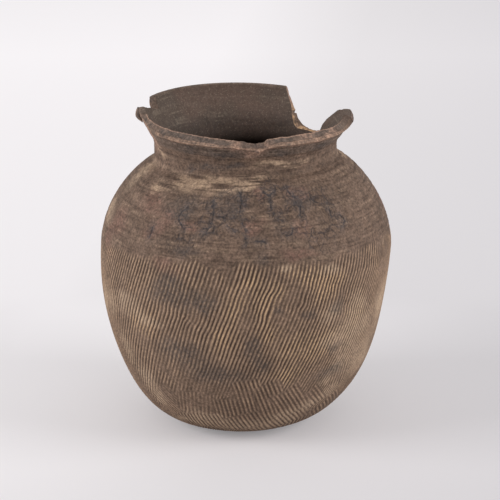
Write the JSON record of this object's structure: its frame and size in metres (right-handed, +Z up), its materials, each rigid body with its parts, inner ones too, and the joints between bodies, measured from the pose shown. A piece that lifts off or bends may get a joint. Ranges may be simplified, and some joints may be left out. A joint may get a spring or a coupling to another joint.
{
  "type": "pottery jar",
  "caption": "Round-bodied hand-built clay jar with a narrow rest, short upright neck and flared rim; part of the rim is broken away.",
  "frame": {"origin": "centre of the flat that the jar stands on", "axes": "+Z up; -Y is the front that the picture shows; +X is the viewer's right, the side next to the missing part of the rim"},
  "size_m": [0.2216, 0.2216, 0.2448],
  "materials": {
    "ribbed_clay": "unglazed, low fired, dark brown, paddle-ribbed",
    "wiped_clay": "unglazed, wiped smooth, finely cracked, blackened in patches",
    "rim_clay": "unglazed, sooted",
    "worn_clay": "broken and worn edge, lighter than the skin"
  },
  "bodies": {
    "root": {"base_disc": "ribbed_clay", "bowl_strap_1": "ribbed_clay", "bowl_strap_2": "ribbed_clay", "bowl_strap_3": "ribbed_clay", "bowl_strap_4": "ribbed_clay", "bowl_strap_5": "ribbed_clay", "shoulder_strap_1": "wiped_clay", "shoulder_strap_2": "wiped_clay", "shoulder_strap_3": "wiped_clay", "neck_collar": "wiped_clay", "rim_flare": "rim_clay", "lip_strip_back": "rim_clay", "lip_strip_left": "rim_clay", "lip_strip_right": "rim_clay", "lip_strip_front_left": "worn_clay", "lip_strip_front_right": "worn_clay"}
  },
  "joints": []
}
